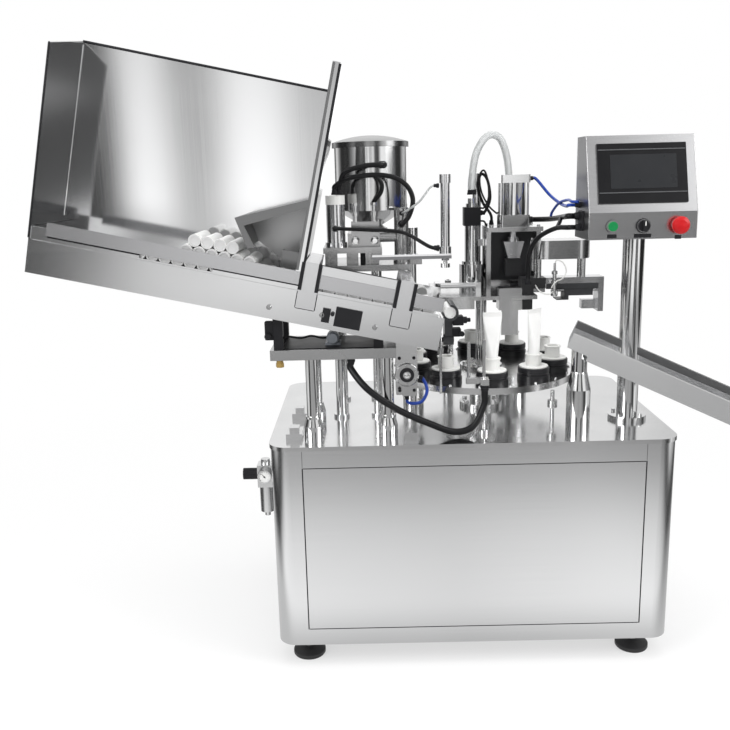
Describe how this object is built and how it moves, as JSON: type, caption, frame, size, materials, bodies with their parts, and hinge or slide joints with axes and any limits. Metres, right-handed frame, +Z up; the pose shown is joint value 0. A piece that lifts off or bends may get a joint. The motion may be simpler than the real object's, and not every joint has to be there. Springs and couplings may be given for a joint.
{
  "type": "tube filling and sealing machine",
  "caption": "Stainless bench-height machine that feeds, fills, heats, seals and trims tubes round an indexing turntable, with a sloping tube bin, hopper, chute and control box on a post.",
  "frame": {"origin": "on the floor, under the middle of the machine's outline seen from above", "axes": "+X to the right along the front, +Y to the back, +Z up"},
  "size_m": [1.6678, 0.637, 1.4934],
  "materials": {
    "cabinet_shell": "satin",
    "table_plate": "satin",
    "front_panel": "satin",
    "levelling_feet": "matte",
    "support_columns": "polished",
    "index_housing": "polished",
    "index_gearbox": "satin",
    "drive_motor": "satin",
    "motor_pulley": "satin",
    "index_pulley": "satin",
    "drive_belt": "matte",
    "index_shaft": "polished",
    "turntable": "satin",
    "tube_cups": "matte",
    "cup_inserts": "satin",
    "tubes_on_table": "gloss",
    "feed_plate": "satin",
    "feed_posts": "matte",
    "tube_bin": "satin",
    "feed_front_plate": "satin",
    "feed_guard": "satin",
    "bin_gate": "satin",
    "bin_deflector": "satin",
    "feed_fittings": "matte",
    "tubes_in_bin": "gloss",
    "loading_actuator": "satin",
    "tube_flipper": "matte",
    "push_cylinder": "polished",
    "push_rod": "polished",
    "fill_frame": "satin",
    "dosing_pump": "polished",
    "fill_valve": "satin",
    "filling_hopper": "polished",
    "hopper_lid": "polished",
    "filling_nozzle": "polished",
    "station_plate": "satin",
    "heater_unit": "polished",
    "heater_solenoid": "matte",
    "heater_nozzle": "satin",
    "press_frame": "satin",
    "press_cylinder": "polished",
    "press_head": "satin",
    "jaw_inner": "satin",
    "jaw_outer": "satin",
    "trim_frame": "satin",
    "trim_blade": "satin",
    "trim_cover": "polished",
    "discharge_chute": "satin",
    "hmi_box": "satin",
    "hmi_back": "satin",
    "hmi_screen": "gloss",
    "start_button": "gloss",
    "selector_knob": "matte",
    "estop_button": "gloss",
    "air_regulator": "polished",
    "regulator_knob": "matte",
    "table_fittings": "satin",
    "hoses_clear": "gloss",
    "hoses_blue": "gloss",
    "hoses_black": "satin"
  },
  "bodies": {
    "machine": {"cabinet_shell": "cabinet_shell", "table_plate": "table_plate", "levelling_feet": "levelling_feet", "support_columns": "support_columns", "index_housing": "index_housing", "index_gearbox": "index_gearbox", "drive_motor": "drive_motor", "drive_belt": "drive_belt", "feed_plate": "feed_plate", "feed_posts": "feed_posts", "tube_bin": "tube_bin", "feed_front_plate": "feed_front_plate", "feed_guard": "feed_guard", "bin_gate": "bin_gate", "bin_deflector": "bin_deflector", "feed_fittings": "feed_fittings", "tubes_in_bin": "tubes_in_bin", "loading_actuator": "loading_actuator", "push_cylinder": "push_cylinder", "fill_frame": "fill_frame", "dosing_pump": "dosing_pump", "fill_valve": "fill_valve", "filling_hopper": "filling_hopper", "station_plate": "station_plate", "heater_unit": "heater_unit", "heater_solenoid": "heater_solenoid", "press_frame": "press_frame", "press_cylinder": "press_cylinder", "trim_frame": "trim_frame", "trim_cover": "trim_cover", "discharge_chute": "discharge_chute", "hmi_box": "hmi_box", "hmi_back": "hmi_back", "hmi_screen": "hmi_screen", "air_regulator": "air_regulator", "table_fittings": "table_fittings", "hoses_clear": "hoses_clear", "hoses_blue": "hoses_blue", "hoses_black": "hoses_black"},
    "turntable_body": {"turntable": "turntable", "tube_cups": "tube_cups", "cup_inserts": "cup_inserts", "tubes_on_table": "tubes_on_table", "index_shaft": "index_shaft"},
    "index_pulley_body": {"index_pulley": "index_pulley"},
    "motor_pulley_body": {"motor_pulley": "motor_pulley"},
    "panel_body": {"front_panel": "front_panel"},
    "flipper_body": {"tube_flipper": "tube_flipper"},
    "push_rod_body": {"push_rod": "push_rod"},
    "lid_body": {"hopper_lid": "hopper_lid"},
    "filling_nozzle_body": {"filling_nozzle": "filling_nozzle"},
    "heater_nozzle_body": {"heater_nozzle": "heater_nozzle"},
    "press_head_body": {"press_head": "press_head"},
    "jaw_inner_body": {"jaw_inner": "jaw_inner"},
    "jaw_outer_body": {"jaw_outer": "jaw_outer"},
    "trim_blade_body": {"trim_blade": "trim_blade"},
    "start_body": {"start_button": "start_button"},
    "selector_body": {"selector_knob": "selector_knob"},
    "estop_body": {"estop_button": "estop_button"},
    "regulator_knob_body": {"regulator_knob": "regulator_knob"}
  },
  "joints": [
    {"name": "turntable_spin", "type": "hinge", "parent": "machine", "child": "turntable_body", "pos_m": [0.22233, 0.02916, 0.654], "axis": [0, 0, 1], "continuous": true},
    {"name": "index_pulley_spin", "type": "hinge", "parent": "machine", "child": "index_pulley_body", "pos_m": [0.09033, 0.02916, 0.455], "axis": [1, 0, 0], "continuous": true},
    {"name": "motor_pulley_spin", "type": "hinge", "parent": "machine", "child": "motor_pulley_body", "pos_m": [0.09033, 0.02916, 0.15], "axis": [1, 0, 0], "continuous": true},
    {"name": "panel_pull", "type": "slide", "parent": "machine", "child": "panel_body", "axis": [0, -1, 0], "range_m": [0, 0.06]},
    {"name": "flipper_turn", "type": "hinge", "parent": "machine", "child": "flipper_body", "pos_m": [0.11622, -0.19439, 0.788], "axis": [-1, 0, 0], "range_deg": [0, 90]},
    {"name": "push_slide", "type": "slide", "parent": "machine", "child": "push_rod_body", "axis": [0, 0, -1], "range_m": [0, 0.075]},
    {"name": "lid_lift", "type": "slide", "parent": "machine", "child": "lid_body", "axis": [0, 0, 1], "range_m": [0, 0.12]},
    {"name": "nozzle_slide", "type": "slide", "parent": "machine", "child": "filling_nozzle_body", "axis": [0, 0, -1], "range_m": [0, 0.028]},
    {"name": "heater_slide", "type": "slide", "parent": "machine", "child": "heater_nozzle_body", "axis": [0, 0, 1], "range_m": [-0.025, 0]},
    {"name": "press_slide", "type": "slide", "parent": "machine", "child": "press_head_body", "axis": [0, 0, -1], "range_m": [0, 0.022]},
    {"name": "jaw_inner_slide", "type": "slide", "parent": "machine", "child": "jaw_inner_body", "axis": [0.5736, 0.8192, 0], "range_m": [0, 0.0297]},
    {"name": "jaw_outer_slide", "type": "slide", "parent": "machine", "child": "jaw_outer_body", "axis": [-0.5736, -0.8192, 0], "range_m": [0, 0.0297]},
    {"name": "trim_slide", "type": "slide", "parent": "machine", "child": "trim_blade_body", "axis": [-1, 0, 0], "range_m": [0, 0.04]},
    {"name": "start_press", "type": "slide", "parent": "machine", "child": "start_body", "axis": [0, 1, 0], "range_m": [0, 0.004], "stiffness_N_per_m": 400},
    {"name": "selector_turn", "type": "hinge", "parent": "machine", "child": "selector_body", "pos_m": [0.56733, -0.18385, 1.043], "axis": [0, -1, 0], "range_deg": [-45, 45]},
    {"name": "estop_press", "type": "slide", "parent": "machine", "child": "estop_body", "axis": [0, 1, 0], "range_m": [0, 0.005]},
    {"name": "regulator_turn", "type": "hinge", "parent": "machine", "child": "regulator_knob_body", "pos_m": [-0.35167, -0.19384, 0.464], "axis": [-1, 0, 0], "range_deg": [-135, 135]}
  ],
  "couplings": [
    {"joint": "index_pulley_spin", "follows": "turntable_spin", "ratio": 10},
    {"joint": "motor_pulley_spin", "follows": "turntable_spin", "ratio": 10},
    {"joint": "jaw_inner_slide", "follows": "press_slide", "ratio": 1.35},
    {"joint": "jaw_outer_slide", "follows": "press_slide", "ratio": 1.35}
  ]
}
